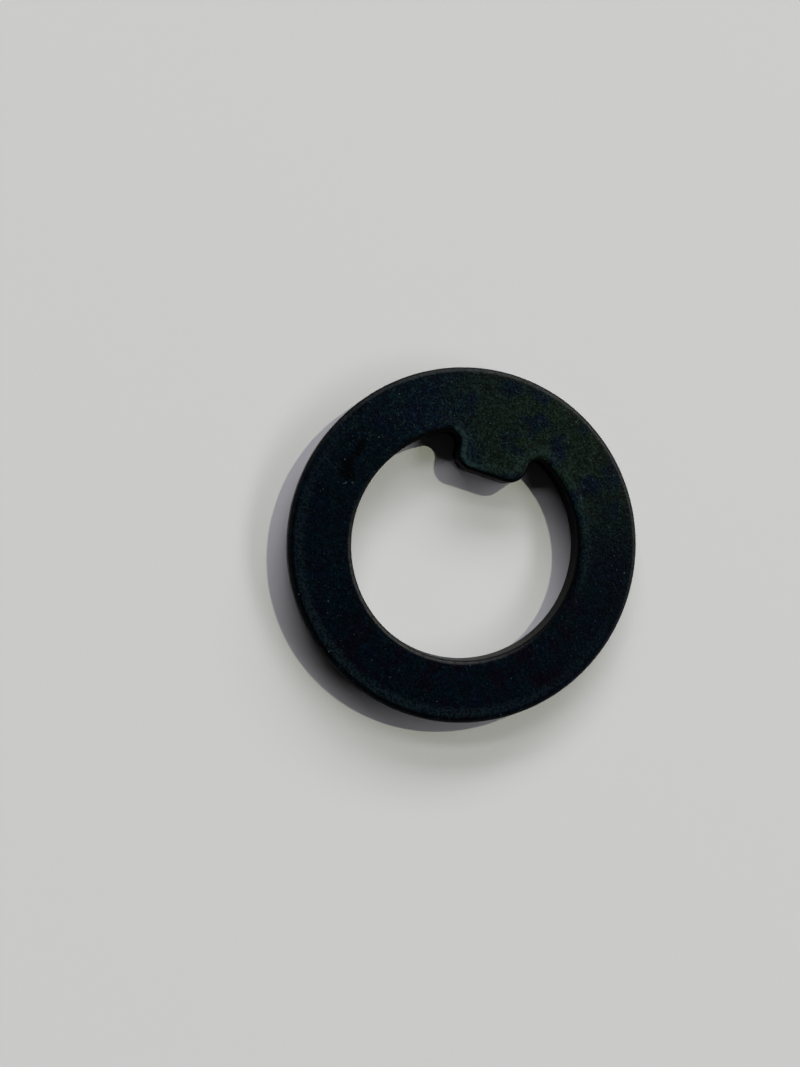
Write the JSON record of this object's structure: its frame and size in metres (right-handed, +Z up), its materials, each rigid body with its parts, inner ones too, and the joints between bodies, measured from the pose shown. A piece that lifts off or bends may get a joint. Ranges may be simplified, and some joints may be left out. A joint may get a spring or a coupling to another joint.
{
  "type": "tabbed ring gasket",
  "caption": "Flat round gasket ring with rounded edges and a locating tab standing into the bore, for a keyed shaft or fitting.",
  "frame": {"origin": "centre of the bore on the bottom face", "axes": "+Z up through the ring, out of the top face; +Y from the centre towards the locating tab; +X to its right"},
  "size_m": [0.04, 0.04, 0.003],
  "materials": {
    "rubber": "matte black with a fine grain"
  },
  "bodies": {
    "root": {"gasket": "rubber"}
  },
  "joints": []
}
